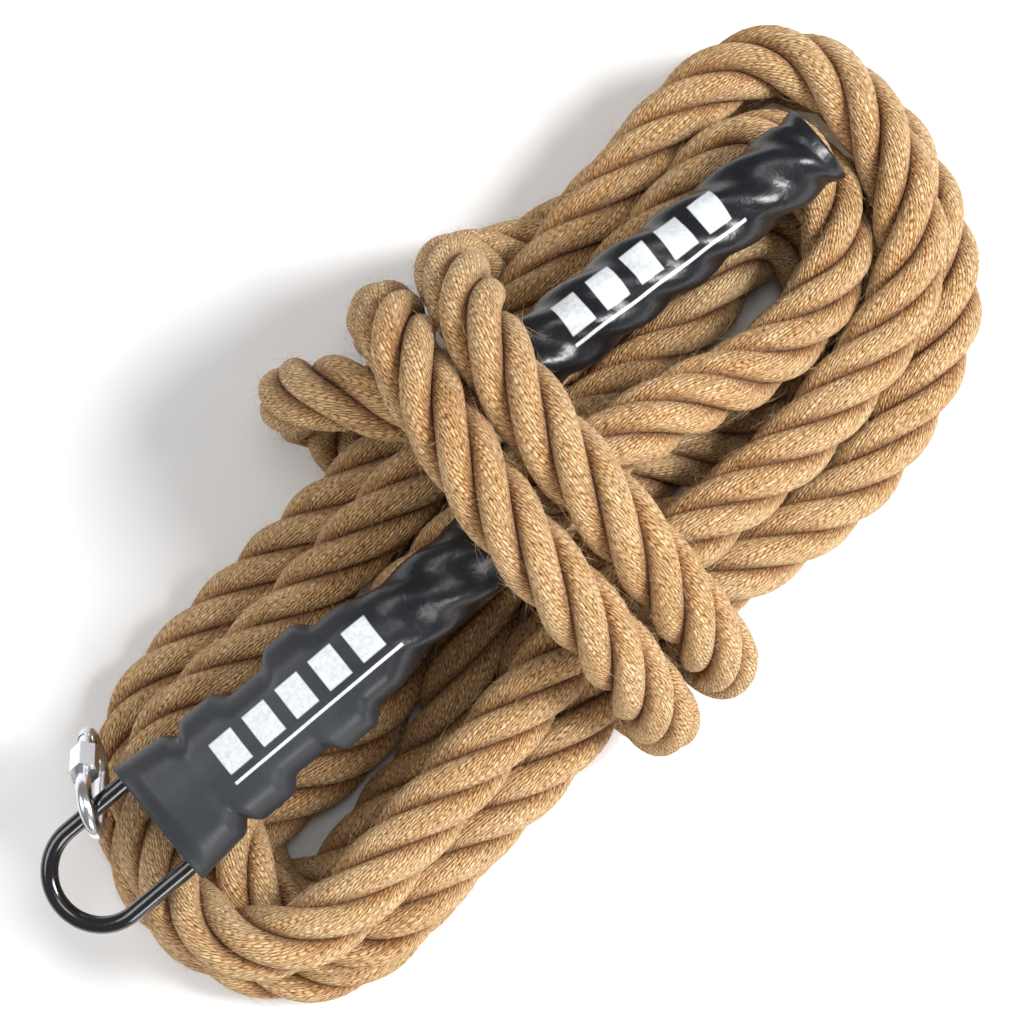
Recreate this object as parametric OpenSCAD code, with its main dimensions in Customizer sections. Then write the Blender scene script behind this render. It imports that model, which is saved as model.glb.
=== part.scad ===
// Gym climbing rope, folded into a hank and tied round its middle with its own tail.
// One end is bolted into a strap bracket with a D-ring and a quick link, under a black
// heat-shrink sleeve. The other end is bare inside a second sleeve.
// The hank lies on the floor. +X runs along it, towards the free end.

/* [Rope] */
// Diameter of the laid rope
rope_d = 38; // [32:1:46]

/* [Hank] */
// Height of the turns at the end that carries the ring end of the rope
ring_side_h = 70; // [58:1:84]
// Height of the turns at the end under the free end of the rope
free_side_h = 88; // [73:1:105]
// Height of the turns over the wraps, at the middle of the hank
hank_mid_h = 115; // [98:1:140]
// Distance between the centres of the hank's two round ends
hank_span = 389; // [325:1:466]
// Radius of the round end that carries the ring end of the rope
ring_round_r = 92; // [77:1:106]
// Radius of the round end under the free end of the rope
free_round_r = 112; // [93:1:135]

/* [Wraps] */
// Width of the turns that tie the hank round its middle
wraps_w = 98; // [82:1:118]
// Turn of the wraps about the vertical, away from square to the hank
wraps_yaw = -9; // [-14:0.5:0]

/* [Sleeves] */
// Wall of the shrunk sleeves
sleeve_wall = 1.6; // [1.2:0.1:2.0]
// Space between a sleeve and the rope inside it
sleeve_gap = 0.3; // [0.2:0.1:0.6]
// Length of the sleeve over the ring end
ring_sleeve_l = 246; // [205:1:300]
// Width of the open mouth of that sleeve
mouth_w = 70; // [66:1:84]
// Height of the open mouth of that sleeve
mouth_h = 34; // [28:1:40]
// Length of the sleeve over the free end
free_sleeve_l = 205; // [170:1:250]

/* [Bracket] */
// Thickness of the two straps
strap_t = 4; // [3.2:0.1:5]
// Width of the straps
strap_w = 16; // [14:0.5:18]
// Length of the straps
strap_l = 134; // [126:1:162]
// Rod of the D-ring
ring_rod_d = 9; // [7.5:0.5:11]
// Length of the D-ring beyond the mouth of the sleeve
ring_reach = 65; // [56:1:78]
// Shank of the through bolts
bolt_d = 8; // [6.5:0.5:9]
// Width across the flats of the bolt heads and nuts
bolt_flats = 13; // [10.5:0.5:15]
// Height of a bolt head
bolt_head_h = 5.3; // [4.4:0.1:6.4]
// Height of a nut
bolt_nut_h = 6.3; // [5.2:0.1:7.6]

/* [Quick link] */
// Rod of the quick link
link_rod_d = 8; // [6.5:0.5:9.5]
// Length of the quick link outside
link_l = 74; // [70:1:90]
// Width of the quick link outside
link_w = 35; // [33:1:42]
// Length of the link's nut
link_nut_l = 19; // [16:0.5:20]
// Width across the flats of the link's nut
link_nut_flats = 13; // [11.5:0.5:14]
// How far the nut is backed off from closed
link_nut_open = 3.5; // [0:0.5:10]

/* [Hidden] */

$fn = 64;
seat_gap = 0.3;          // a soft piece lies this far above what carries it
bolt_gap = 0.1;          // round a bolt shank in a strap or in the rope
thread_gap = 0.05;       // round a thread in its nut
rod_gap = 0.5;           // between the D-ring and the bend of the link on it

// Places along the hank and across it
ring_round_c = [-195, -10];
free_round_c = ring_round_c + [hank_span, 14];
end_room = 34;           // from the hank's farther end to where its side profile stops
hank_half_l = max(free_round_c[0] + free_round_r, ring_round_r - ring_round_c[0]) + end_room;
hank_half_w = 200;
wraps_c = [12, 0];
under_slope = 50;        // length over which the turns come down beside the wraps

// The inside of the wraps, as seen along the hank: low corners, then shoulders, then crown
wraps_low_y = [-100, 102];
wraps_low_z = rope_d;
wraps_side_z = [hank_mid_h - 5, hank_mid_h - 15];
wraps_crown_y = [-26, 84];
sleeve_r = rope_d / 2 + sleeve_gap + sleeve_wall;
wraps_crown_z = hank_mid_h + 2 * sleeve_r + 4;
wraps_corner_steps = 6;

// The two straight ends lie down the slopes of the hank
slope_l = 300;           // from the middle to where the two side heights are measured
ring_slope = atan((hank_mid_h - ring_side_h) / slope_l);
free_slope = atan((hank_mid_h - free_side_h) / slope_l);
ring_mouth = [-236.5, 20.2];
ring_yaw = -5.3;
free_tip = [242, 26.5];
free_yaw = -7.5;
ring_rope_start = 12;    // the cut end of the rope inside the mouth
free_rope_end = 12;      // the cut end of the rope inside the tip

// Bracket, measured from the mouth along the sleeve
strap_start = 8;
strap_flat = 0.3;        // how far each strap presses into the rope
strap_y = rope_d / 2 - strap_flat;
strap_out_y = strap_y + strap_t;
weld_seat = 1;           // how deep the ring's legs sit in the straps
ring_leg_y = strap_out_y + ring_rod_d / 2 - weld_seat;
ring_leg_in = 8;         // how far the legs run on along the straps
bolt_x = [23.5, 56, 110.5];
head_gap = 1.5;          // over the bolt heads and nuts, inside the sleeve

// Profile of the ring-end sleeve
sleeve_sides = 32;
sleeve_step = 6;
bump_top = 8;            // half length of the flat top of a bump
bump_foot = 13;          // half length of a bump at its foot
flare_start = 14;        // where the widened mouth begins to narrow
flare_end = 40;
strap_zone_end = strap_start + strap_l;
round_start = strap_zone_end + 16;
shape_flat = 3;
shape_round = 2;

// Quick link
bend_r = (link_w - link_rod_d) / 2;
leg_l = link_l - link_w;
link_neck_d = 6.9;
neck_l = 5;              // the short thread on the plain end of the gate
gate_l = 10;             // the gap that the nut closes
link_hook_x = -18.5;     // where the link hangs on the ring's leg, from the mouth
link_pitch = 58;
link_yaw = 74.6;
link_roll = 12;
shoulder_u = -leg_l / 2 + 5;
link_rest_room = 8;      // round the link, in the hollow that it leans in

// Hand-laid routes of the two free stretches of rope, millimetres
bight_points = [
  [-33, 118, 30], [-36, 130, 56], [-36, 130, 88], [-27, 120, 116],
  [-9, 98, 134], [14, 74, 138], [36, 55, 134]
];
lead_in_points = [
  [8, -2, 137], [30, -4, 139], [60, -8, 134], [92, -15, 118],
  [125, -25, 98], [150, -32, 86]
];
tube_sides = 12;
tube_steps = 3;          // rings between one route point and the next

// ---- functions ----

// Points of an arc about c, from angle a to angle b
function arc(c, r, a, b, steps) =
  [for (i = [0:steps]) let (t = a + (b - a) * i / steps) c + r * [cos(t), sin(t)]];

// Plan of the hank: two round ends and the tangents between them
function hank_plan() =
  let (v = free_round_c - ring_round_c)
  let (lean = atan2(v[1], v[0]))
  let (open = asin((free_round_r - ring_round_r) / norm(v)))
  concat(
    arc(ring_round_c, ring_round_r, lean + 90 + open, lean + 270 - open, 24),
    arc(free_round_c, free_round_r, lean - 90 - open, lean + 90 + open, 24)
  );

// A convex outline grown outwards by r with round corners
function grown(points, r) =
  let (n = len(points))
  [for (i = [0:n - 1])
    let (a = points[(i + n - 1) % n], b = points[i], c = points[(i + 1) % n])
    let (from = atan2(b[1] - a[1], b[0] - a[0]) - 90)
    let (turn = atan2(c[1] - b[1], c[0] - b[0]) - 90 - from)
    let (bend = turn < 0 ? turn + 360 : turn)
    each arc(b, r, from, from + bend, wraps_corner_steps)];

wraps_inside = [
  [wraps_low_y[0], wraps_low_z], [wraps_low_y[1], wraps_low_z],
  [wraps_low_y[1], wraps_side_z[1]], [wraps_crown_y[1], wraps_crown_z],
  [wraps_crown_y[0], wraps_crown_z], [wraps_low_y[0], wraps_side_z[0]]
];

// A smooth step from 0 at a to 1 at b
function ease(x, a, b) = let (t = min(1, max(0, (x - a) / (b - a)))) t * t * (3 - 2 * t);

function mix(a, b, t) = a + (b - a) * t;

// 1 at a bolt, fading to 0 beside it
function bump(x) = max([for (b = bolt_x) 1 - ease(abs(x - b), bump_top, bump_foot)]);

// Inside half width, half height and squareness of the ring-end sleeve at x
side_in = strap_out_y + 1;
head_in = strap_out_y + max(bolt_head_h, bolt_nut_h) + head_gap;
rope_in = rope_d / 2 + sleeve_gap;
mouth_in = max(mouth_w / 2 - sleeve_wall, ring_leg_y + ring_rod_d / 2 + seat_gap);
function strap_zone(x) = 1 - ease(x, strap_zone_end - 2, round_start);
function sleeve_half_w(x) =
  let (plain = mix(rope_in, side_in, strap_zone(x)))
  let (bumped = mix(plain, head_in, bump(x)))
  max(bumped, mix(mouth_in, plain, ease(x, flare_start, flare_end)));
function sleeve_half_h(x) = mix(mouth_h / 2 - sleeve_wall, rope_in, ease(x, 0, ring_rope_start));
function sleeve_shape(x) = mix(shape_round, shape_flat, strap_zone(x));

// One ring of a sleeve: a rounded box of half width w and half height h
function sleeve_ring(x, extra) =
  let (w = sleeve_half_w(x) + extra, h = sleeve_half_h(x) + extra, p = 2 / sleeve_shape(x))
  [for (i = [0:sleeve_sides - 1])
    let (a = 360 * i / sleeve_sides)
    [x, w * sign(cos(a)) * pow(abs(cos(a)), p), h * sign(sin(a)) * pow(abs(sin(a)), p)]];

// Faces that join ring r to ring r + 1, turned outwards
function band(r, sides) =
  [for (i = [0:sides - 1])
    let (j = (i + 1) % sides)
    [r * sides + i, (r + 1) * sides + i, (r + 1) * sides + j, r * sides + j]];

// A point on a smooth curve through p, at part t of stretch i
function on_curve(p, i, t) =
  let (n = len(p))
  let (a = p[max(0, i - 1)], b = p[i], c = p[i + 1], d = p[min(n - 1, i + 2)])
  0.5 * (2 * b + (c - a) * t + (2 * a - 5 * b + 4 * c - d) * t * t
    + (3 * b - a - 3 * c + d) * t * t * t);

function curve(p, steps) =
  concat([for (i = [0:len(p) - 2], k = [0:steps - 1]) on_curve(p, i, k / steps)],
    [p[len(p) - 1]]);

function unit(v) = v / norm(v);

// ---- building blocks ----

module at_ring_end() {
  translate([ring_mouth[0], ring_mouth[1], ring_mouth_z])
    rotate([0, -ring_slope, ring_yaw])
      children();
}

module at_free_end() {
  translate([free_tip[0], free_tip[1], free_tip_z])
    rotate([0, free_slope, free_yaw])
      children();
}

// Height of the hank's sloping top above the floor at x
function top_at(x) = hank_mid_h - abs(x) * tan(x < 0 ? ring_slope : free_slope);
ring_mouth_z = top_at(ring_mouth[0]) + (sleeve_r + seat_gap) / cos(ring_slope);
free_tip_z = top_at(free_tip[0]) + (sleeve_r + seat_gap) / cos(free_slope);

module along_x(l, d) {
  rotate([0, 90, 0])
    cylinder(h = l, d = d);
}

module along_y(from, to, d) {
  translate([0, from, 0])
    rotate([-90, 0, 0])
      cylinder(h = to - from, d = d);
}

// A hexagon prism across the given flats, from one y to another
module hex_y(from, to, flats) {
  translate([0, from, 0])
    rotate([-90, 0, 0])
      rotate([0, 0, 30])
        cylinder(h = to - from, d = flats / cos(30), $fn = 6);
}

// A solid tube swept along a smooth curve through the route's points
module swept_tube(route, d) {
  path = curve(route, tube_steps);
  n = len(path);
  rings = [for (i = [0:n - 1])
    let (way = unit(path[min(n - 1, i + 1)] - path[max(0, i - 1)]))
    let (side = unit(cross(way, [0.3, 0.9, 0.31])))
    let (up = cross(side, way))
    for (k = [0:tube_sides - 1])
      path[i] + d / 2 * (cos(360 * k / tube_sides) * side - sin(360 * k / tube_sides) * up)];
  start = [for (k = [0:tube_sides - 1]) k];
  end = [for (k = [0:tube_sides - 1]) n * tube_sides - 1 - k];
  faces = concat([start], [for (r = [0:n - 2]) each band(r, tube_sides)], [end]);
  polyhedron(rings, faces, convexity = 4);
}

module wraps_prism(outline, l) {
  translate([wraps_c[0], wraps_c[1], 0])
    rotate([0, 0, wraps_yaw])
      translate([-l / 2, 0, 0])
        rotate([90, 0, 90])
          linear_extrude(l)
            polygon(outline);
}

// ---- rope ----

module rope_wraps() {
  color("burlywood")
    difference() {
      wraps_prism(grown(wraps_inside, rope_d), wraps_w);
      wraps_prism(wraps_inside, wraps_w + 2);
    }
}

// The folded turns: the plan, cut to the side profile, with the waist inside the wraps
module rope_hank() {
  raise = wraps_w / 2 + abs(wraps_c[0]) + 6;
  side = [
    [-hank_half_l, 0], [-raise - under_slope, 0], [-raise, wraps_low_z],
    [raise, wraps_low_z], [raise + under_slope, 0], [hank_half_l, 0],
    [hank_half_l, top_at(hank_half_l)], [0, hank_mid_h], [-hank_half_l, top_at(-hank_half_l)]
  ];
  color("tan")
    difference() {
      intersection() {
        linear_extrude(2 * hank_mid_h)
          polygon(hank_plan());
        translate([0, hank_half_w, 0])
          rotate([90, 0, 0])
            linear_extrude(2 * hank_half_w)
              polygon(side);
      }
      difference() {
        wraps_prism(grown(wraps_inside, 2 * rope_d), wraps_w);
        wraps_prism(wraps_inside, wraps_w + 2);
      }
      link_rest();
    }
}

// The hollow between two turns that the quick link leans in
module link_rest() {
  lean = link_w / 2 + seat_gap;
  at_link()
    translate([-link_l / 2 - link_rest_room, -link_rod_d / 2 - link_rest_room, -lean])
      cube([link_l + 2 * link_rest_room, link_rod_d + 2 * link_rest_room, 2 * link_l]);
}

module rope_bight() {
  color("burlywood")
    swept_tube(bight_points, rope_d);
}

module rope_lead_in() {
  color("tan")
    swept_tube(lead_in_points, rope_d);
}

module ring_end_rope() {
  color("tan")
    at_ring_end()
      difference() {
        translate([ring_rope_start, 0, 0])
          along_x(ring_sleeve_l - ring_rope_start, rope_d);
        for (side = [-1, 1])
          translate([strap_start, side * (strap_y + strap_t), 0])
            cube([2 * strap_l, 2 * strap_t, rope_d], center = true);
        for (x = bolt_x)
          translate([x, 0, 0])
            along_y(-rope_d, rope_d, bolt_d + 2 * bolt_gap);
      }
}

module free_end_rope() {
  color("tan")
    at_free_end()
      translate([-free_sleeve_l, 0, 0])
        along_x(free_sleeve_l - free_rope_end, rope_d);
}

// ---- sleeves ----

module ring_end_sleeve() {
  n = ceil(ring_sleeve_l / sleeve_step);
  xs = [for (i = [0:n]) ring_sleeve_l * i / n];
  outer = [for (x = xs) each sleeve_ring(x, sleeve_wall)];
  inner = [for (i = [n:-1:0]) each sleeve_ring(xs[i], 0)];
  rings = 2 * (n + 1);
  last = (rings - 1) * sleeve_sides;
  close = [for (i = [0:sleeve_sides - 1])
    let (j = (i + 1) % sleeve_sides)
    [last + i, i, j, last + j]];
  color("#17181a")
    at_ring_end()
      polyhedron(
        concat(outer, inner),
        concat([for (r = [0:rings - 2]) each band(r, sleeve_sides)], close),
        convexity = 6
      );
}

module free_end_sleeve() {
  color("#17181a")
    at_free_end()
      translate([-free_sleeve_l, 0, 0])
        difference() {
          along_x(free_sleeve_l, 2 * sleeve_r);
          translate([-1, 0, 0])
            along_x(free_sleeve_l + 2, rope_d + 2 * sleeve_gap);
        }
}

// ---- bracket ----

module ring_rod() {
  arc_x = -(ring_reach - ring_rod_d / 2 - ring_leg_y);
  for (side = [-1, 1])
    translate([arc_x, side * ring_leg_y, 0])
      along_x(strap_start + ring_leg_in - arc_x, ring_rod_d);
  translate([arc_x, 0, 0])
    rotate([0, 0, 90])
      rotate_extrude(angle = 180)
        translate([ring_leg_y, 0])
          circle(d = ring_rod_d);
}

module d_ring() {
  color("#101012")
    at_ring_end()
      ring_rod();
}

module strap(side) {
  at_ring_end()
    difference() {
      intersection() {
        translate([strap_start, side * strap_out_y, 0])
          rotate([side * 90, 0, 0])
            linear_extrude(strap_t)
              strap_outline();
        translate([0, side * strap_out_y, 0])
          cube([4 * strap_l, 2 * strap_t, 2 * strap_w], center = true);
      }
      for (x = bolt_x)
        translate([x, 0, 0])
          along_y(-strap_out_y - 1, strap_out_y + 1, bolt_d + 2 * bolt_gap);
      ring_rod();
    }
}

module strap_outline() {
  translate([0, -strap_w / 2])
    square([strap_l - strap_w / 2, strap_w]);
  translate([strap_l - strap_w / 2, 0])
    circle(d = strap_w);
}

module left_strap() {
  color("#2a2b2d")
    strap(1);
}

module right_strap() {
  color("#2a2b2d")
    strap(-1);
}

module through_bolts() {
  color("silver")
    at_ring_end()
      for (x = bolt_x)
        translate([x, 0, 0]) {
          hex_y(-strap_out_y - bolt_head_h, -strap_out_y, bolt_flats);
          along_y(-strap_out_y - bolt_head_h / 2, strap_out_y + bolt_nut_h, bolt_d);
        }
}

module bolt_nuts() {
  color("silver")
    at_ring_end()
      for (x = bolt_x)
        translate([x, 0, 0])
          difference() {
            hex_y(strap_out_y, strap_out_y + bolt_nut_h, bolt_flats);
            along_y(strap_out_y - 1, strap_out_y + bolt_nut_h + 1, bolt_d + 2 * thread_gap);
          }
}

// ---- quick link ----

// The link's own frame: its middle, with u along it, the gate leg at +z
module at_link() {
  hook = leg_l / 2 + bend_r - (link_rod_d + ring_rod_d) / 2 - rod_gap;
  at_ring_end()
    translate([link_hook_x, ring_leg_y, 0])
      rotate([link_roll, link_pitch, link_yaw])
        translate([hook, 0, 0])
          children();
}

module link_leg(from, to, side, d) {
  translate([from, 0, side * bend_r])
    along_x(to - from, d);
}

module link_bend(side) {
  translate([side * leg_l / 2, 0, 0])
    rotate([90, 0, 0])
      rotate([0, 0, side * -90])
        rotate_extrude(angle = 180)
          translate([bend_r, 0])
            circle(d = link_rod_d);
}

module quick_link() {
  gate_from = shoulder_u + neck_l;
  color("gainsboro")
    at_link() {
      link_bend(-1);
      link_bend(1);
      link_leg(-leg_l / 2, leg_l / 2, -1, link_rod_d);
      link_leg(-leg_l / 2, shoulder_u, 1, link_rod_d);
      link_leg(shoulder_u, gate_from, 1, link_neck_d);
      link_leg(gate_from + gate_l, leg_l / 2, 1, link_neck_d);
    }
}

module link_nut() {
  nut_from = shoulder_u + link_nut_open;
  color("gainsboro")
    at_link()
      translate([nut_from, 0, bend_r])
        rotate([0, 90, 0])
          difference() {
            cylinder(h = link_nut_l, d = link_nut_flats / cos(30), $fn = 6);
            translate([0, 0, -1])
              cylinder(h = link_nut_l + 2, d = link_neck_d + 2 * thread_gap);
          }
}

rope_hank();
rope_wraps();
rope_bight();
rope_lead_in();
ring_end_rope();
free_end_rope();
ring_end_sleeve();
free_end_sleeve();
d_ring();
left_strap();
right_strap();
through_bolts();
bolt_nuts();
quick_link();
link_nut();
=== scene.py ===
"""Gym climbing rope: a hank of laid jute rope tied with its own tail.

It has two heat-shrink sleeves, a bolted D-ring and a quick link. Lengths are in metres unless a
comment says otherwise.
"""

import math

import bpy
import numpy as np
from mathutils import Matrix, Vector


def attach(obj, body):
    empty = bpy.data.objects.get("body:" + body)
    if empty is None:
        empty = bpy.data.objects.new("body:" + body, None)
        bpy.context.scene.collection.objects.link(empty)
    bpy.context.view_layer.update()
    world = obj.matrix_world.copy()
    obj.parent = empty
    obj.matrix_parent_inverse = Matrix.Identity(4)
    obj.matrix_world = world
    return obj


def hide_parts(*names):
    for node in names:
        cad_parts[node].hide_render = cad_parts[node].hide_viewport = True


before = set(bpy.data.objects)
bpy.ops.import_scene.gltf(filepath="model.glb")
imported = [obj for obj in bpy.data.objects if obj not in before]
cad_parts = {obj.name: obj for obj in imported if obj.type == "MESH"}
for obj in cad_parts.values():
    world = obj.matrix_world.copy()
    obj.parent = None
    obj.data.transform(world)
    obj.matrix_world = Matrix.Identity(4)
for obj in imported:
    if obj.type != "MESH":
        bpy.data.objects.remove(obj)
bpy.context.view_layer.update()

# ---- sizes and places, as in the part's source ----
ROPE_D = 0.038
STRANDS = 4
PITCH = 0.135  # one turn of the lay
HELIX_R = 0.293 * ROPE_D  # from the rope's centreline to a strand's
STRAND_R = 0.209 * ROPE_D
MOUTH = np.array([-0.2365, 0.0202, 0.10096])  # middle of the ring-end sleeve's mouth
TIP = np.array([0.2420, 0.0265, 0.1145])  # middle of the free-end sleeve's tip
RING_SLOPE, FREE_SLOPE = math.radians(8.531), math.radians(5.143)
RING_YAW, FREE_YAW = math.radians(-5.3), math.radians(-7.5)
RING_L, FREE_L = 0.246, 0.205  # lengths of the sleeves
ROPE_INSET = 0.012  # from a sleeve's opening to the rope's cut end
SLEEVE_R, SLEEVE_WALL, SLEEVE_GAP = 0.0209, 0.0016, 0.0003
MOUTH_W, MOUTH_H = 0.070, 0.034
STRAP_OUT, STRAP_L, STRAP_START = 0.0227, 0.134, 0.008
BOLT_X = (0.0235, 0.056, 0.1105)  # places of the through bolts along the ring-end sleeve
HEAD_H, HEAD_ROOM = 0.0063, 0.0015
HEAD_IN = STRAP_OUT + HEAD_H + HEAD_ROOM  # half width inside the sleeve over the bolt heads


def axes(yaw, slope):
    """A sleeve's own directions: along it, across it and up from it."""
    level = math.cos(slope)
    x = np.array([level * math.cos(yaw), level * math.sin(yaw), math.sin(slope)])
    y = np.array([-math.sin(yaw), math.cos(yaw), 0.0])
    return x, y, np.cross(x, y)


RING_AXES = axes(RING_YAW, RING_SLOPE)
FREE_AXES = axes(FREE_YAW, -FREE_SLOPE)

# ---- camera ----
CAMERA_ELEVATION = math.radians(85)
CAMERA_AIM = (0, 0.0057, 0.1)
CAMERA_DISTANCE = 1.2
LENS_MM = 84.4


def make_camera():
    data = bpy.data.cameras.new("camera")
    cam = bpy.data.objects.new("camera", data)
    bpy.context.collection.objects.link(cam)
    level = math.cos(CAMERA_ELEVATION) / math.sqrt(2)
    back = Vector((-level, -level, math.sin(CAMERA_ELEVATION)))
    cam.location = Vector(CAMERA_AIM) + back * CAMERA_DISTANCE
    cam.rotation_mode = "QUATERNION"
    cam.rotation_quaternion = (-back).to_track_quat("-Z", "Y")
    data.lens = LENS_MM
    data.clip_start, data.clip_end = 0.05, 20
    bpy.context.scene.camera = cam


make_camera()


# ---- the rope's route ----
def on_circle(degrees):
    return math.cos(math.radians(degrees)), math.sin(math.radians(degrees))


# Across and up, for each turn's four legs and its two crossings of the middle, in millimetres
RIGHT_UPPER = [(-34, 80), (-70, 76), (-88, 19), (-48, 19), (-104, 54)]
LEFT_UPPER = [(55, 78), (88, 58), (54, 19), (12, 44), (93, 19)]
LEFT_LOWER = [(50, 56), (80, 26), (-22, 19), (14, 57)]
RIGHT_LOWER = [(-72, 80), (-95, 19), (-57, 19), (-91, 54)]
LEFT_MIDDLE = [(52, 91), (74, 57), (34, 57), (14, 93)]
RIGHT_MIDDLE = [(-62, 92), (-43, 57), (-5, 57), (-81, 57)]
# At the two ends of each turn, in millimetres: how far along, up, across, and how much it bulges
UPPER_TIP = [(244, 70, 17, 6), (281, 74, 35, 0), (256, 19, 27, 3), (218, 24, 8, 10), (290, 36, 42, -3)]
LOWER_TIP = [(-252, 58, -4, 8), (-270, 24, -6, 4), (-230, 19, 0, 14), (-234, 54, -5, 8)]
# Along, across and up, in millimetres, for the stretches between the sleeves and the hank
LEAD_IN = [(30, -4, 139), (60, -8, 134), (92, -15, 118), (125, -25, 98), (150, -32, 86)]
WRAPS = [
    (150, 93, 19), (112, 100, 24), (80, 111, 46), (66, 114, 84), (60, 107, 122),
    (49, 85, 155), (38, 52, 177), (31, 8, 180), (28, -30, 178), (26, -70, 155),
    (24, -103, 122), (24, -122, 84), (24, -120, 46), (23, -98, 21), (21, -55, 19),
    (20, 0, 19), (20, 60, 19), (21, 104, 22), (23, 122, 48), (25, 122, 88),
    (22, 112, 124), (12, 87, 156), (1, 52, 178), (-9, 8, 180), (-13, -30, 178),
    (-15, -70, 155), (-17, -100, 124), (-19, -120, 84), (-20, -118, 46), (-21, -97, 21),
    (-23, -50, 19), (-27, 0, 19), (-31, 50, 19), (-32, 92, 20),
]
BIGHT = [
    (-33, 118, 30), (-36, 130, 56), (-36, 130, 88), (-27, 120, 116), (-9, 98, 134), (14, 74, 138),
]
# Along a leg, in millimetres, and the shares of its way across and up that are done there
LEG_SHARES = ((0, 0, 0), (36, 0.12, 0.02), (72, 0.55, 0.42), (110, 0.92, 0.9), (150, 1, 1))
END_ANGLES = (-70, -45, -20, 0, 20, 45, 70)


def leg(sign, middle, end):
    """A leg's points from the middle of the hank outwards."""
    return [
        (sign * x, middle[0] + (end[0] - middle[0]) * f, middle[1] + (end[1] - middle[1]) * g)
        for x, f, g in LEG_SHARES
    ]


def round_end(a, b, tip):
    """From leg a to leg b round an end of the hank."""
    far, high, across, bulge = tip
    middle, half = (a[0] + b[0]) / 2, abs(b[0] - a[0]) / 2 + bulge
    reach = math.copysign(half, far)
    centre = far - reach
    side = 1 if b[0] > a[0] else -1
    points = []
    for degrees in END_ANGLES:
        c, s = on_circle(degrees)
        share = (degrees + 90) / 180
        z = a[1] + (b[1] - a[1]) * share + (high - (a[1] + b[1]) / 2) * c * c
        points.append((centre + reach * c, middle + across * c + side * half * s, z))
    return points


def route():
    """The rope's route as it is folded, from the ring end to the free end."""
    in_ring = np.linspace(ROPE_INSET, RING_L, 14)
    in_free = np.linspace(FREE_L, ROPE_INSET, 12)
    points = [tuple(1000 * (MOUTH + RING_AXES[0] * s)) for s in in_ring]
    points += LEAD_IN
    for k in range(len(RIGHT_UPPER)):
        if k:
            points += leg(1, RIGHT_MIDDLE[k - 1], RIGHT_UPPER[k])
        points += round_end(RIGHT_UPPER[k], LEFT_UPPER[k], UPPER_TIP[k])
        if k < len(LEFT_LOWER):
            points += leg(1, LEFT_MIDDLE[k], LEFT_UPPER[k])[::-1]
            points += leg(-1, LEFT_MIDDLE[k], LEFT_LOWER[k])[1:]
            points += round_end(LEFT_LOWER[k], RIGHT_LOWER[k], LOWER_TIP[k])
            points += leg(-1, RIGHT_MIDDLE[k], RIGHT_LOWER[k])[:0:-1]
    points += WRAPS + BIGHT
    points += [tuple(1000 * (TIP - FREE_AXES[0] * s)) for s in in_free]
    return np.array(points, float) / 1000


def curve_through(p, step):
    """A smooth line through p, with points about step apart."""
    line = []
    for i in range(len(p) - 1):
        a, b, c, d = p[max(0, i - 1)], p[i], p[i + 1], p[min(len(p) - 1, i + 2)]
        m = max(2, int(np.linalg.norm(c - b) / step * 6))
        t = (np.arange(m) / m)[:, None]
        square, cube = 2 * a - 5 * b + 4 * c - d, 3 * b - a - 3 * c + d
        line.append(0.5 * (2 * b + (c - a) * t + square * t**2 + cube * t**3))
    line.append(p[-1:])
    return evenly(np.concatenate(line), step)


def evenly(line, step):
    """The same line with points about step apart."""
    along = np.concatenate([[0], np.cumsum(np.linalg.norm(np.diff(line, axis=0), axis=1))])
    at = np.linspace(0, along[-1], int(round(along[-1] / step)) + 1)
    return np.stack([np.interp(at, along, line[:, k]) for k in range(3)], axis=1)


FALL = 0.0005  # in one round
HOME_PULL = np.array([0.06, 0.06, 0.02])  # share of the way back to the folded route
BENDING = ((1, 0.35), (3, 0.25), (7, 0.12))  # points each way, and the share straightened
NEIGHBOURS = 5  # points nearer than this along the rope don't push each other
CROWD = 2.5  # pushes on one point that add up in full


def keep_length(x, w, h):
    """Pull neighbouring points back to h apart, and push them apart less than fully."""
    for first in (0, 1):
        b = x[first + 1 :: 2]
        a = x[first:-1:2][: len(b)]
        wb = w[first + 1 :: 2]
        wa = w[first:-1:2][: len(b)]
        d = b - a
        long = np.linalg.norm(d, axis=1)
        slack = np.where(long < h, 0.4, 1.0)
        f = (slack * (long - h) / long / np.maximum(wa + wb, 1))[:, None] * d
        a += f * wa[:, None]
        b -= f * wb[:, None]


def push_apart(x, w, i, j, apart):
    """Push the pairs i, j of points to the distances in apart, and all points off the floor."""
    d = x[j] - x[i]
    far2 = (d * d).sum(1)
    hit = far2 < apart * apart
    p, q, d = i[hit], j[hit], d[hit]
    far = np.maximum(np.sqrt(far2[hit]), 1e-6)
    f = d * ((apart[hit] - far) / far / np.maximum(w[p] + w[q], 1) / 2)[:, None]
    move = np.zeros_like(x)
    count = np.zeros(len(x))
    np.add.at(move, p, -f * w[p][:, None])
    np.add.at(move, q, f * w[q][:, None])
    np.add.at(count, p, 1)
    np.add.at(count, q, 1)
    x += move / np.maximum(1, count / CROWD)[:, None]
    x[:, 2] = np.maximum(x[:, 2], ROPE_D / 2)


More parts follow.
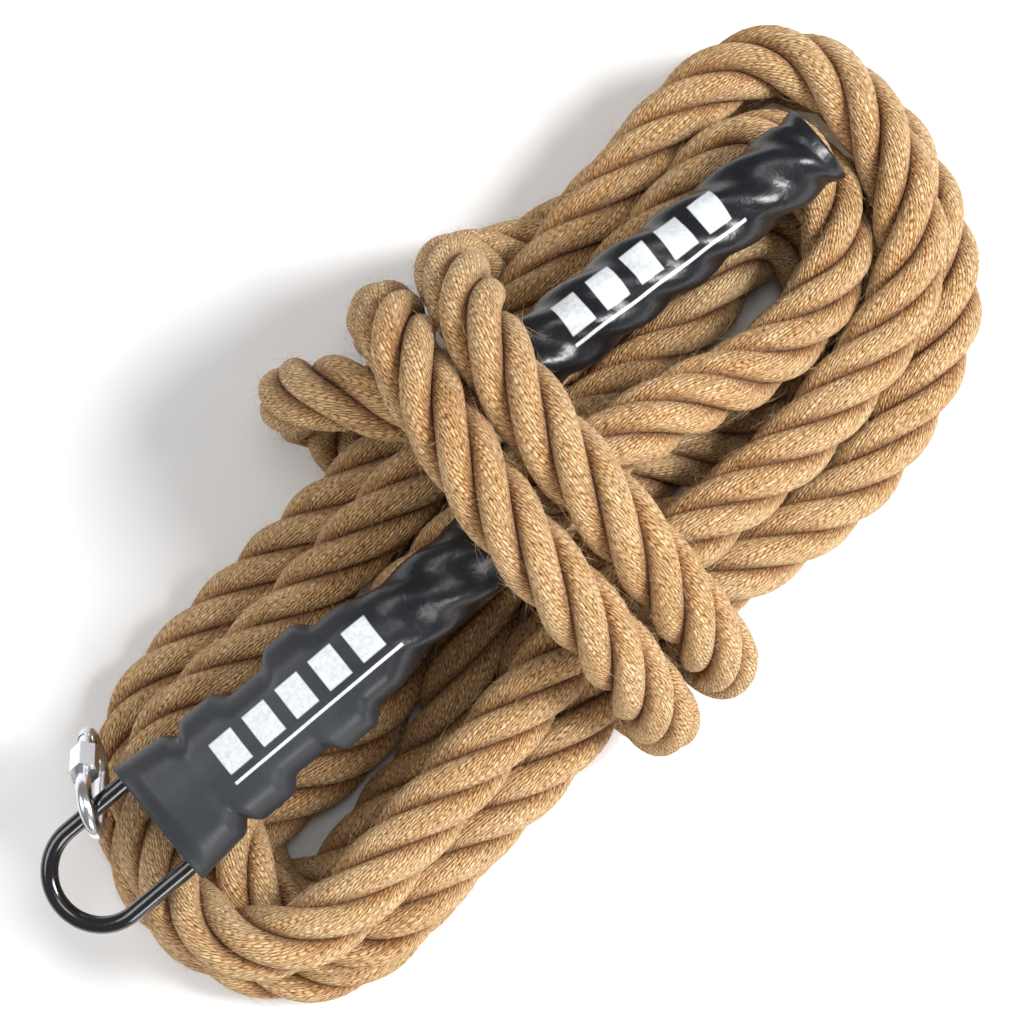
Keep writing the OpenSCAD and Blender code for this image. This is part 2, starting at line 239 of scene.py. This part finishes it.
def settle(line, rounds):
    """The folded rope after it has settled.

    It keeps its length, resists bending, and lies on the floor, on itself and off the sleeves.
    """
    x, home = line.copy(), line.copy()
    n = len(x)
    h = np.linalg.norm(np.diff(line, axis=0), axis=1).mean()
    s = np.arange(n) * h
    held = (s < RING_L - ROPE_INSET) | (s > s[-1] - (FREE_L - ROPE_INSET))
    w = (~held).astype(float)
    radius = np.where(held, SLEEVE_R + 0.0005, ROPE_D / 2)
    i, j = np.triu_indices(n, NEIGHBOURS)
    loose = ~(held[i] & held[j])
    i, j = i[loose], j[loose]
    apart = radius[i] + radius[j]
    for step in range(rounds):
        x[~held, 2] -= FALL * (1.3 - step / rounds)
        x[~held] += HOME_PULL * (home[~held] - x[~held])
        for span, share in BENDING:
            moved = x - home
            middle = (moved[2 * span :] + moved[: -2 * span]) / 2
            x[span:-span] += (middle - moved[span:-span]) * share * w[span:-span, None]
        for _ in range(3):
            keep_length(x, w, h)
        for _ in range(2):
            push_apart(x, w, i, j, apart)
    return x


def eased(line, times, start=1, end=1):
    """The line with its bends eased, but for its first and last points."""
    a, b = start, len(line) - end
    for _ in range(times):
        line[a:b] = (line[a - 1 : b - 1] + 2 * line[a:b] + line[a + 1 : b + 1]) / 4
    return line


STEP = 0.012  # between the points that settle
SPACING = 0.004  # between the points of the finished line
ROUNDS = 300
IN_RING_SLEEVE = int((RING_L - ROPE_INSET) / STEP) + 1
IN_FREE_SLEEVE = int((FREE_L - ROPE_INSET) / STEP) + 1
FOLDED = eased(curve_through(route(), STEP), 4, IN_RING_SLEEVE, IN_FREE_SLEEVE)
LINE = eased(curve_through(settle(FOLDED, ROUNDS), SPACING), 5)


def frames(line):
    """Directions along a line, and two across it that don't twist about it."""
    t = np.gradient(line, axis=0)
    for _ in range(3):
        t[1:-1] = (t[:-2] + 2 * t[1:-1] + t[2:]) / 4
    t /= np.linalg.norm(t, axis=1)[:, None]
    a = np.zeros_like(t)
    a[0] = np.cross(t[0], [0, 0, 1])
    for k in range(1, len(t)):
        a[k] = a[k - 1] - t[k] * np.dot(a[k - 1], t[k])
        a[k] /= np.linalg.norm(a[k])
    a[0] /= np.linalg.norm(a[0])
    return t, a, np.cross(t, a)


FORWARD, ACROSS, OVER = frames(LINE)


# ---- meshes ----
def mesh_object(name, points, faces):
    mesh = bpy.data.meshes.new(name)
    mesh.from_pydata([tuple(p) for p in points], [], faces)
    mesh.update()
    mesh.shade_smooth()
    o = bpy.data.objects.new(name, mesh)
    bpy.context.collection.objects.link(o)
    return o


def tube_faces(rings, sides, closed_ends=True):
    """Quads round a tube, rings from start to end, turned outwards, with a cap at each end."""
    r = np.arange(rings - 1)[:, None] * sides
    k = np.arange(sides)[None, :]
    nxt = (k + 1) % sides
    quads = np.stack([r + k, r + nxt, r + sides + nxt, r + sides + k], axis=2).reshape(-1, 4)
    faces = quads.tolist()
    if closed_ends:
        faces.append(list(range(sides))[::-1])
        faces.append([(rings - 1) * sides + q for q in range(sides)])
    return faces


STRAND_SIDES = 20
MAP_ROWS = 24  # rows that the map for baking cuts a strand into
UNEVEN, UNEVEN_STEP = 0.022, 0.03  # how much a strand's radius varies, and how often
CUT_END = 0.8  # a strand's last ring, as a share of its radius


def strand(k, noise):
    """One of the rope's four strands, with a map of the lay and a map for baking."""
    n = len(LINE)
    s = np.arange(n) * np.linalg.norm(np.diff(LINE, axis=0), axis=1).mean()
    turn = (2 * math.pi * s / PITCH + k * math.pi / 2)[:, None]
    out = np.cos(turn) * ACROSS + np.sin(turn) * OVER
    round_ = -np.sin(turn) * ACROSS + np.cos(turn) * OVER
    way = FORWARD + 2 * math.pi * HELIX_R / PITCH * round_
    way /= np.linalg.norm(way, axis=1)[:, None]
    side = np.cross(way, out)
    middle = LINE + HELIX_R * out
    size = STRAND_R * (1 + UNEVEN * np.interp(s, np.arange(len(noise)) * UNEVEN_STEP, noise))
    phi = 2 * math.pi * np.arange(STRAND_SIDES) / STRAND_SIDES
    ring = middle[:, None] + size[:, None, None] * (
        np.cos(phi)[None, :, None] * out[:, None] + np.sin(phi)[None, :, None] * side[:, None]
    )
    for end in (0, -1):
        ring[end] = middle[end] + (ring[end] - middle[end]) * CUT_END
    ring[..., 2] = np.maximum(ring[..., 2], 0.0)
    name = f"rope_strand_{k + 1}"
    o = mesh_object(name, ring.reshape(-1, 3), tube_faces(n, STRAND_SIDES))
    add_maps(o.data, s, phi)
    return o


def add_maps(mesh, s, phi):
    """The map "lay" runs round and along the strand, and "OFBake" cuts it into rows."""
    lay = mesh.uv_layers.new(name="lay")
    bake = mesh.uv_layers.new(name="OFBake")
    r, q = np.divmod(np.arange((len(s) - 1) * STRAND_SIDES), STRAND_SIDES)
    u = np.stack([q, q + 1, q + 1, q], axis=1) / STRAND_SIDES
    v = s[np.stack([r, r, r + 1, r + 1], axis=1)]
    uv = np.stack([u, v / s[-1]], axis=2).reshape(-1, 2)
    caps = np.zeros((2 * STRAND_SIDES, 2))
    caps[STRAND_SIDES:, 1] = 1
    lay.uv.foreach_set("vector", np.concatenate([uv, caps]).astype(np.float32).ravel())
    share = v / s[-1] * MAP_ROWS
    row = np.clip(np.floor(share.mean(1)), 0, MAP_ROWS - 1)[:, None]
    rows = MAP_ROWS + 1  # one more holds the two end caps
    flat = np.stack([0.02 + 0.96 * (share - row), (row + 0.08 + 0.8 * u) / rows], axis=2)
    disc = (MAP_ROWS + 0.5 + 0.4 * np.stack([np.cos(phi), np.sin(phi)], axis=1)) / rows
    both = np.concatenate([disc - [0.9, 0], disc - [0.8, 0]])
    places = np.concatenate([flat.reshape(-1, 2), both])
    bake.uv.foreach_set("vector", places.astype(np.float32).ravel())


rng = np.random.default_rng(7)
ROPE_LENGTH = float(np.linalg.norm(np.diff(LINE, axis=0), axis=1).sum())
strands = [strand(k, rng.normal(size=260)) for k in range(STRANDS)]
for o in strands:
    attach(o, "rope")
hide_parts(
    "rope_hank", "rope_wraps", "rope_bight", "rope_lead_in", "ring_end_rope", "free_end_rope"
)


# ---- material helpers ----
class Nodes:
    """Short calls for a material's nodes."""

    def __init__(self, name):
        self.material = bpy.data.materials.new(name)
        self.material.use_nodes = True
        self.tree = self.material.node_tree
        self.tree.nodes.clear()
        self.shader = self.add("ShaderNodeBsdfPrincipled")
        out = self.add("ShaderNodeOutputMaterial")
        self.link(self.shader.outputs[0], out.inputs["Surface"])

    def add(self, kind, **facts):
        node = self.tree.nodes.new(kind)
        for key, value in facts.items():
            setattr(node, key, value)
        return node

    def link(self, a, b):
        self.tree.links.new(a, b)

    def put(self, socket, value):
        if isinstance(value, bpy.types.NodeSocket):
            self.link(value, socket)
        else:
            socket.default_value = value

    def math(self, operation, *values):
        node = self.add("ShaderNodeMath", operation=operation)
        for socket, value in zip(node.inputs, values):
            self.put(socket, value)
        return node.outputs[0]

    def plus(self, first, *others):
        for other in others:
            first = self.math("ADD", first, other)
        return first

    def times(self, a, b):
        return self.math("MULTIPLY", a, b)

    def vector(self, operation, a, b):
        node = self.add("ShaderNodeVectorMath", operation=operation)
        self.put(node.inputs[0], a)
        self.put(node.inputs[1], b)
        return node.outputs

    def join(self, x, y, z):
        node = self.add("ShaderNodeCombineXYZ")
        for socket, value in zip(node.inputs, (x, y, z)):
            self.put(socket, value)
        return node.outputs[0]

    def split(self, vector):
        node = self.add("ShaderNodeSeparateXYZ")
        self.link(vector, node.inputs[0])
        return node.outputs

    def place(self):
        return self.add("ShaderNodeTexCoord").outputs["Object"]

    def noise(self, vector, scale, detail=2.0, roughness=0.5, distortion=0.0):
        node = self.add("ShaderNodeTexNoise")
        self.put(node.inputs["Vector"], vector)
        node.inputs["Scale"].default_value = scale
        node.inputs["Detail"].default_value = detail
        node.inputs["Roughness"].default_value = roughness
        node.inputs["Distortion"].default_value = distortion
        return node.outputs["Fac"]

    def span(self, value, low, high, to_low=0.0, to_high=1.0):
        node = self.add("ShaderNodeMapRange", clamp=True)
        for socket, v in zip(node.inputs, (value, low, high, to_low, to_high)):
            self.put(socket, v)
        return node.outputs[0]

    def ramp(self, value, *stops):
        node = self.add("ShaderNodeValToRGB")
        while len(node.color_ramp.elements) < len(stops):
            node.color_ramp.elements.new(0.5)
        for element, (at, colour) in zip(node.color_ramp.elements, stops):
            element.position = at
            element.color = (*colour, 1)
        self.link(value, node.inputs[0])
        return node.outputs[0]

    def mix(self, share, a, b, how="MIX"):
        node = self.add("ShaderNodeMix", data_type="RGBA", blend_type=how)
        self.put(node.inputs[0], share)
        for socket, value in ((node.inputs[6], a), (node.inputs[7], b)):
            self.put(socket, (*value, 1) if isinstance(value, tuple) else value)
        return node.outputs[2]

    def bump(self, height, distance, strength):
        node = self.add("ShaderNodeBump")
        node.inputs["Strength"].default_value = strength
        node.inputs["Distance"].default_value = distance
        self.link(height, node.inputs["Height"])
        return node.outputs[0]

    def set(self, **values):
        for key, value in values.items():
            self.put(self.shader.inputs[key.replace("_", " ")], value)


YARNS = 28.0
YARN_TURNS = 2.3 / PITCH  # turns of a yarn about its strand for each metre of rope
YARN_TWIST = 300.0  # half turns of the fibres in a yarn for each metre of rope
JUTE_DARK, JUTE_MID, JUTE_LIGHT = (0.165, 0.058, 0.014), (0.69, 0.355, 0.122), (0.96, 0.70, 0.40)
SHEEN_TINT = (1.0, 0.86, 0.66, 1)


def jute():
    """Jute: yarns laid round the strand, fine fibres along them, with painted shade where the strands
    meet and in the gaps between the yarns.
    """
    m = Nodes("jute")
    u, v, _ = m.split(m.add("ShaderNodeUVMap", uv_map="lay").outputs[0])
    metres = m.times(v, ROPE_LENGTH)
    turned = m.plus(u, m.times(metres, YARN_TURNS))
    angle = m.times(turned, 2 * math.pi)
    along = m.join(m.math("COSINE", angle), m.math("SINE", angle), m.times(metres, 9.0))
    wander = m.noise(along, 2.2)

    # The yarns side by side, and the twist of the fibres in each
    phase = m.plus(m.times(turned, YARNS), m.times(wander, 1.3))
    ridge = m.math("POWER", m.math("ABSOLUTE", m.math("SINE", m.times(phase, math.pi))), 0.6)
    tone = m.add("ShaderNodeTexWhiteNoise", noise_dimensions="1D")
    m.put(tone.inputs["W"], m.math("FLOOR", phase))
    tone = tone.outputs["Value"]
    across = m.times(m.math("FRACT", phase), 0.7)
    twist = m.plus(m.times(metres, YARN_TWIST), across, m.times(tone, 7.0), m.times(wander, 4.0))
    dash = m.math("ABSOLUTE", m.math("SINE", m.times(twist, math.pi)))
    fibres = m.noise(m.vector("MULTIPLY", along, (9.0, 9.0, 6.0))[0], 3.0, 5.0, 0.65)
    fleck = m.noise(m.join(m.times(phase, 1.1), m.times(metres, 300.0), 0.0), 1.0, 3.0, 0.7)
    patches = m.noise(m.place(), 11.0, 3.0)

    # Colour, with painted shade in the gaps between the yarns and fibre twists and on the strand's
    # inner side
    level = m.plus(
        m.times(fibres, 0.55),
        m.times(patches, 0.2),
        m.times(tone, 0.07),
        m.times(fleck, 0.28),
        m.times(dash, 0.13),
    )
    colour = m.ramp(level, (0.42, JUTE_DARK), (0.58, JUTE_MID), (0.76, JUTE_LIGHT))
    # Painted shade in the gaps between the yarns and between the fibre twists, with random dark flecks
    # of the fibres' own tone
    yarn_gap_shade_and_flecks = m.times(m.span(ridge, 0.0, 0.7, 0.42, 1.0), m.span(dash, 0.0, 0.55, 0.5, 1.0))
    yarn_gap_shade_and_flecks = m.times(yarn_gap_shade_and_flecks, m.span(fleck, 0.34, 0.50, 0.55, 1.0))
    colour = m.mix(1.0, colour, m.join(yarn_gap_shade_and_flecks, yarn_gap_shade_and_flecks, yarn_gap_shade_and_flecks), "MULTIPLY")
    # Painted shade on the strand's inner side, where the strands meet, warmer as it darkens
    inward = m.math("COSINE", m.times(u, 2 * math.pi))
    painted_shade_level = m.span(inward, -0.3, 0.72, 0.05, 1.0)
    shade = m.join(m.math("POWER", painted_shade_level, 0.7), painted_shade_level, m.math("POWER", painted_shade_level, 1.3))
    colour = m.mix(1.0, colour, shade, "MULTIPLY")

    specks = m.plus(m.times(fleck, 0.6), m.times(dash, 0.6))
    height = m.plus(ridge, m.plus(m.times(fibres, 0.6), specks))
    m.set(
        Base_Color=colour,
        Roughness=0.86,
        Normal=m.bump(height, 0.0011, 0.9),
        Specular_IOR_Level=0.25,
        Sheen_Weight=0.22,
        Sheen_Roughness=0.45,
        Sheen_Tint=SHEEN_TINT,
    )
    return m.material


JUTE = jute()
for o in strands:
    o.data.materials.append(JUTE)


# ---- sleeves ----
def ease(x, a, b):
    """From 0 at a to 1 at b, smoothly."""
    t = np.clip((x - a) / (b - a), 0, 1)
    return t * t * (3 - 2 * t)


def waves(seed, sizes, count=14):
    """A smooth random height over two coordinates, within about 1 either way."""
    r = np.random.default_rng(seed)
    way = r.normal(size=(count, 2)) * np.array(sizes)
    shift = r.uniform(0, 2 * math.pi, count)

    def height(a, b):
        total = sum(np.sin(a * w[0] + b * w[1] + p) for w, p in zip(way, shift))
        return total / math.sqrt(count)

    return height


LIP = (0.35, 0.7)  # shares of the wall at which a cut edge has rings
LIP_OUT = 0.0004  # how far a cut edge is rounded


def shell(name, at, dirs, xs, outline):
    """A tube with a wall: outline(x, wall) gives a ring's shift along, across and up."""
    rings = []

    def ring(x, wall):
        shift, y, z = outline(x, wall)
        rings.append(at + np.outer(x + shift, dirs[0]) + np.outer(y, dirs[1]) + np.outer(z, dirs[2]))

    for x in xs:
        ring(x, 1.0)
    for f in LIP[::-1]:
        ring(xs[-1] + LIP_OUT * math.sin(math.pi * f), f)
    for x in xs[::-1]:
        ring(x, 0.0)
    for f in LIP:
        ring(xs[0] - LIP_OUT * math.sin(math.pi * f), f)
    sides = len(rings[0])
    faces = []
    for r in range(len(rings)):
        s = (r + 1) % len(rings)
        for k in range(sides):
            q = (k + 1) % sides
            faces.append([s * sides + k, s * sides + q, r * sides + q, r * sides + k])
    return mesh_object(name, np.concatenate(rings), faces)


SIDES = 72
ANGLES = 2 * math.pi * np.arange(SIDES) / SIDES  # round a sleeve
COS, SIN = np.cos(ANGLES), np.sin(ANGLES)
ROPE_IN = ROPE_D / 2 + SLEEVE_GAP  # radius inside a sleeve where it holds the rope
MOUTH_IN = MOUTH_W / 2 - SLEEVE_WALL
MOUTH_LOW = MOUTH_H / 2 - SLEEVE_WALL
FLARE_END = BOLT_X[0] + 0.008  # where the mouth has narrowed to the first bolt heads
ZONE_END = STRAP_START + STRAP_L
LAY_DEPTH = 0.05  # how far a sleeve shrinks into the lay, as a share of its radius
CUT_SLANT = 0.008  # how far a cut edge leans along the sleeve
CREASE, WRINKLE_RING, WRINKLE_FREE = 0.020, 0.012, 0.02  # shares of the radius


def strand_angle(at, dirs, turn):
    """Angle of the first strand about a sleeve's own axis, at the cut end of the rope in it."""
    out = math.cos(turn) * ACROSS[at] + math.sin(turn) * OVER[at]
    return math.atan2(np.dot(out, dirs[2]), np.dot(out, dirs[1]))


def ring_sleeve():
    wrinkle = waves(3, (90, 2.0))
    first = strand_angle(0, RING_AXES, 0.0)

    def outline(x, wall):
        zone = 1 - ease(x, ZONE_END - 0.002, ZONE_END + 0.016)  # 1 beside the straps
        plain = ROPE_IN + (STRAP_OUT + 0.001 - ROPE_IN) * zone
        bump = max(1 - ease(abs(x - b), 0.008, 0.0175) for b in BOLT_X)
        w = plain + (HEAD_IN - plain) * bump
        if x < FLARE_END:
            w = MOUTH_IN + (HEAD_IN - MOUTH_IN) * x / FLARE_END
        h = MOUTH_LOW + (ROPE_IN - MOUTH_LOW) * ease(x, 0, ROPE_INSET)
        p = 2 / (2 + 0.6 * zone)
        y = (w + wall * SLEEVE_WALL) * np.sign(COS) * np.abs(COS) ** p
        z = (h + wall * SLEEVE_WALL) * np.sign(SIN) * np.abs(SIN) ** p
        crease = CREASE * ease(x, 0.0, 0.02) * zone * SIN**2 * np.cos(11 * COS + 12 * x)
        lay = np.cos(4 * (ANGLES - first - 2 * math.pi * (x - ROPE_INSET) / PITCH)) - 1
        lay = LAY_DEPTH * ease(x, ZONE_END - 0.004, ZONE_END + 0.03) * lay
        wrinkles = WRINKLE_RING * ease(x, 0.13, 0.19) * wrinkle(x, COS * 2)
        push = 1 + lay + wall * (crease + wrinkles)
        lip = CUT_SLANT * (1 - ease(x, 0, 0.05)) * (1 + z / (h + SLEEVE_WALL)) / 2
        return lip, y * push, z * push

    return shell("sleeve_ring_end", MOUTH, RING_AXES, np.linspace(0, RING_L, 171), outline)


def free_sleeve():
    wrinkle = waves(11, (70, 2.0))
    first = strand_angle(-1, FREE_AXES, 2 * math.pi * ROPE_LENGTH / PITCH)

    def outline(x, wall):
        past = ease(x, -0.014, 0.0)  # 1 at the tip, past the rope's cut end
        lay = np.cos(4 * (ANGLES - first - 2 * math.pi * (x + ROPE_INSET) / PITCH)) - 1
        lay = (LAY_DEPTH + 0.015) * (1 - past) * lay
        wrinkles = wall * WRINKLE_FREE * wrinkle(x, COS * 2)
        r = (ROPE_IN + wall * SLEEVE_WALL) * (1 + lay + wrinkles)
        pinch = 0.14 * past * (0.7 + 0.3 * np.cos(ANGLES - 0.6))
        y, z = r * COS * (1 + 0.05 * past), r * SIN * (1 - pinch)
        c, s = math.cos(0.3 * past), math.sin(0.3 * past)
        lip = -CUT_SLANT * ease(x, -0.03, 0) * (1 + np.sin(ANGLES + 0.5)) / 2
        return lip, y * c - z * s, y * s + z * c

    return shell("sleeve_free_end", TIP, FREE_AXES, np.linspace(-FREE_L, 0, 121), outline)


BARS = 5
LINE_W = 0.0016  # the thin printed line


def heat_shrink(at, dirs, label, satin_to):
    """Shrunk black plastic with plain bars: satin grey as far as satin_to, then glossy black."""
    m = Nodes("heat_shrink")
    place = m.place()
    rel = m.vector("SUBTRACT", place, tuple(at))[0]
    x, y, z = (m.vector("DOT_PRODUCT", rel, tuple(d))["Value"] for d in dirs)
    start, end, low, high, line = label

    def between(value, a, b, soft=0.0004):
        return m.times(m.span(value, a - soft, a + soft), m.span(value, b - soft, b + soft, 1.0, 0.0))

    # Print, on the upper side only
    part = m.math("FRACT", m.math("DIVIDE", m.math("SUBTRACT", x, start), (end - start) / BARS))
    bars = m.times(between(part, 0.06, 0.72, 0.015), between(x, start, end))
    bars = m.times(bars, between(y, low, high))
    thin = m.times(between(x, start, end), between(y, line, line + LINE_W, 0.0002))
    print_ = m.times(m.math("MAXIMUM", bars, thin), m.math("GREATER_THAN", z, 0.0))

    gloss = m.span(x, satin_to - 0.035, satin_to + 0.035)
    patch = m.noise(place, 30.0, 4.0, 0.6)
    scuff = m.noise(place, 420.0, 3.0, 0.7)
    satin = m.mix(patch, (0.022, 0.025, 0.030), (0.036, 0.040, 0.046))
    shiny = m.mix(patch, (0.004, 0.0045, 0.006), (0.009, 0.010, 0.013))
    ink = m.mix(m.span(scuff, 0.35, 0.6), (0.52, 0.54, 0.56), (0.64, 0.66, 0.68))
    rough = m.plus(
        m.span(gloss, 0, 1, 0.36, 0.25),
        m.span(patch, 0.3, 0.7, 0.0, 0.10),
        m.span(scuff, 0.45, 0.8, 0.0, 0.12),
    )
    lumps = m.times(m.noise(place, 75.0, 3.0, 0.55, 0.4), m.span(gloss, 0, 1, 0.12, 1.0))
    folds = m.noise(m.join(m.times(x, 9.0), m.times(y, 110.0), 0.0), 1.0)
    folds = m.times(folds, m.span(gloss, 0, 1, 0.22, 0.0))
    m.set(
        Base_Color=m.mix(print_, m.mix(gloss, satin, shiny), ink),
        Roughness=rough,
        Normal=m.bump(m.plus(lumps, folds, m.times(scuff, 0.02)), 0.0016, 0.5),
        Specular_IOR_Level=0.45,
    )
    return m.material


# Along from and to, across from and to, and the thin line's place across
RING_LABEL = (0.052, 0.158, -0.006, 0.012, -0.0115)
FREE_LABEL = (-0.168, -0.062, -0.006, 0.012, -0.011)
RING_SATIN_TO, FREE_SATIN_TO = 0.14, -1.0  # the free-end sleeve is glossy all over
sleeve_a = ring_sleeve()
sleeve_a.data.materials.append(heat_shrink(MOUTH, RING_AXES, RING_LABEL, RING_SATIN_TO))
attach(sleeve_a, "rope")
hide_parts("ring_end_sleeve")
sleeve_b = free_sleeve()
sleeve_b.data.materials.append(heat_shrink(TIP, FREE_AXES, FREE_LABEL, FREE_SATIN_TO))
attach(sleeve_b, "rope")
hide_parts("free_end_sleeve")


# ---- metal ----
def black_paint():
    m = Nodes("black_paint")
    place = m.place()
    patch = m.noise(place, 60.0, 4.0)
    chips = m.noise(place, 380.0, 4.0, 0.7)
    colour = m.mix(m.span(chips, 0.70, 0.74), (0.006, 0.006, 0.008), (0.07, 0.065, 0.06))
    m.set(
        Base_Color=colour,
        Roughness=m.span(patch, 0.3, 0.7, 0.10, 0.24),
        Normal=m.bump(m.noise(place, 260.0, 3.0), 0.0005, 0.25),
        Coat_Weight=0.6,
        Coat_Roughness=0.08,
    )
    return m.material


ZINC_TINT = (0.80, 0.81, 0.84)


def zinc():
    m = Nodes("zinc")
    place = m.place()
    patch = m.noise(place, 90.0, 5.0, 0.6)
    grain = m.noise(place, 900.0, 3.0)
    m.set(
        Base_Color=m.mix(patch, ZINC_TINT, tuple(0.8 * t for t in ZINC_TINT)),
        Metallic=1.0,
        Roughness=m.span(patch, 0.3, 0.7, 0.16, 0.30),
        Normal=m.bump(grain, 0.0003, 0.2),
    )
    return m.material


def paint(node, material):
    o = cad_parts[node]
    o.data.materials.clear()
    o.data.materials.append(material)


BLACK, ZINC = black_paint(), zinc()
for node in ("d_ring", "left_strap", "right_strap"):
    paint(node, BLACK)
for node in ("through_bolts", "bolt_nuts", "quick_link", "link_nut"):
    paint(node, ZINC)

# ---- loose fibres ----
FIBRES = 6800  # in each piece
FIBRE_RADII = np.array([0.00009, 0.00008, 0.00007, 0.00005, 0.00002])  # from foot to tip
FIBRE_CORNERS = (0, 2.094, 4.189)  # angles round a fibre
RING_POINTS = len(FIBRE_CORNERS)
FIBRE_POINTS = len(FIBRE_RADII) * RING_POINTS
FIBRE_LOW = 0.0004  # off the floor


def fuzz(name, count, seed):
    """Loose fibres that stand off the strands, as thin closed tubes."""
    r = np.random.default_rng(seed)
    n = len(LINE)
    s = np.arange(n) * ROPE_LENGTH / (n - 1)
    start, stop = int((RING_L + 0.004) / SPACING), n - int((FREE_L + 0.004) / SPACING)
    k = r.integers(start, stop, count)
    which = r.integers(0, STRANDS, count)
    turn = 2 * math.pi * s[k] / PITCH + which * math.pi / 2
    out = np.cos(turn)[:, None] * ACROSS[k] + np.sin(turn)[:, None] * OVER[k]
    side = -np.sin(turn)[:, None] * ACROSS[k] + np.cos(turn)[:, None] * OVER[k]
    phi = r.uniform(-1.25, 1.25, count)[:, None]
    normal = np.cos(phi) * out + np.sin(phi) * side
    foot = LINE[k] + HELIX_R * out + STRAND_R * 0.97 * normal
    lie = FORWARD[k] * r.choice([-1, 1], count)[:, None] + 0.5 * r.normal(size=(count, 3))
    lie -= normal * (lie * normal).sum(1)[:, None]
    lie /= np.linalg.norm(lie, axis=1)[:, None]
    curl = np.cross(normal, lie) * r.normal(size=(count, 1)) * 0.5
    length = (0.004 + 0.011 * r.random(count) ** 2)[:, None]
    rise = r.uniform(0.15, 0.75, count)[:, None]
    parts = []
    for f in np.linspace(0, 1, len(FIBRE_RADII)):
        parts.append(foot + length * (lie * f + curl * f * f + normal * rise * f * (1 - 0.45 * f)))
    line = np.stack(parts, axis=1)
    u1 = np.cross(lie, normal)
    corner = np.stack([normal * math.cos(q) + u1 * math.sin(q) for q in FIBRE_CORNERS], axis=1)
    rings = line[:, :, None] + FIBRE_RADII[None, :, None, None] * corner[:, None]
    rings[..., 2] = np.maximum(rings[..., 2], FIBRE_LOW)
    one = np.array(tube_faces(len(FIBRE_RADII), RING_POINTS, False))
    base = np.arange(count) * FIBRE_POINTS
    quads = (base[:, None, None] + one[None]).reshape(-1, 4).tolist()
    last = FIBRE_POINTS - RING_POINTS
    caps = [[q + 2, q + 1, q] for q in base]
    caps += [[q + last, q + last + 1, q + last + 2] for q in base]
    return mesh_object(name, rings.reshape(-1, 3), quads + caps)


def fibre():
    m = Nodes("loose_fibre")
    tone = m.noise(m.place(), 160.0)
    stops = (0.3, (0.42, 0.27, 0.13)), (0.5, (0.66, 0.46, 0.25)), (0.7, (0.85, 0.66, 0.42))
    m.set(Base_Color=m.ramp(tone, *stops), Roughness=0.7, Specular_IOR_Level=0.3)
    return m.material


FIBRE = fibre()
for name, seed in (("rope_fuzz_1", 21), ("rope_fuzz_2", 22)):
    fibres = fuzz(name, FIBRES, seed)
    fibres.data.materials.append(FIBRE)
    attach(fibres, "rope")

# ---- floor and light ----
FLOOR_HALF = 4
LIGHTS = (  # name, place, size across, power in watts
    ("key", (1.2, -1.0, 1.7), 0.9, 66),
    ("over", (0.2, 0.2, 1.8), 0.7, 6),
    ("fill", (-1.3, 1.2, 1.6), 1.3, 16),
    ("low", (-0.9, -1.5, 1.0), 0.9, 14),
)
LIGHT_AIM = (0, 0, 0.05)
WORLD_STRENGTH = 0.26


def floor():
    mesh = bpy.data.meshes.new("floor")
    h = FLOOR_HALF
    mesh.from_pydata([(-h, -h, 0), (h, -h, 0), (h, h, 0), (-h, h, 0)], [], [(0, 1, 2, 3)])
    o = bpy.data.objects.new("floor", mesh)
    bpy.context.collection.objects.link(o)
    m = Nodes("floor")
    m.set(Base_Color=(0.93, 0.93, 0.93, 1), Roughness=0.8, Specular_IOR_Level=0.1)
    mesh.materials.append(m.material)


def light(name, at, size, power):
    data = bpy.data.lights.new(name, "AREA")
    data.shape = "DISK"
    data.size, data.energy = size, power
    o = bpy.data.objects.new(name, data)
    bpy.context.collection.objects.link(o)
    o.location = at
    o.rotation_mode = "QUATERNION"
    o.rotation_quaternion = (Vector(LIGHT_AIM) - Vector(at)).to_track_quat("-Z", "Y")


floor()
for facts in LIGHTS:
    light(*facts)
world = bpy.data.worlds.new("world")
bpy.context.scene.world = world
world.use_nodes = True
background = world.node_tree.nodes["Background"]
background.inputs[0].default_value = (1, 1, 1, 1)
background.inputs[1].default_value = WORLD_STRENGTH
bpy.context.scene.view_settings.view_transform = "Standard"
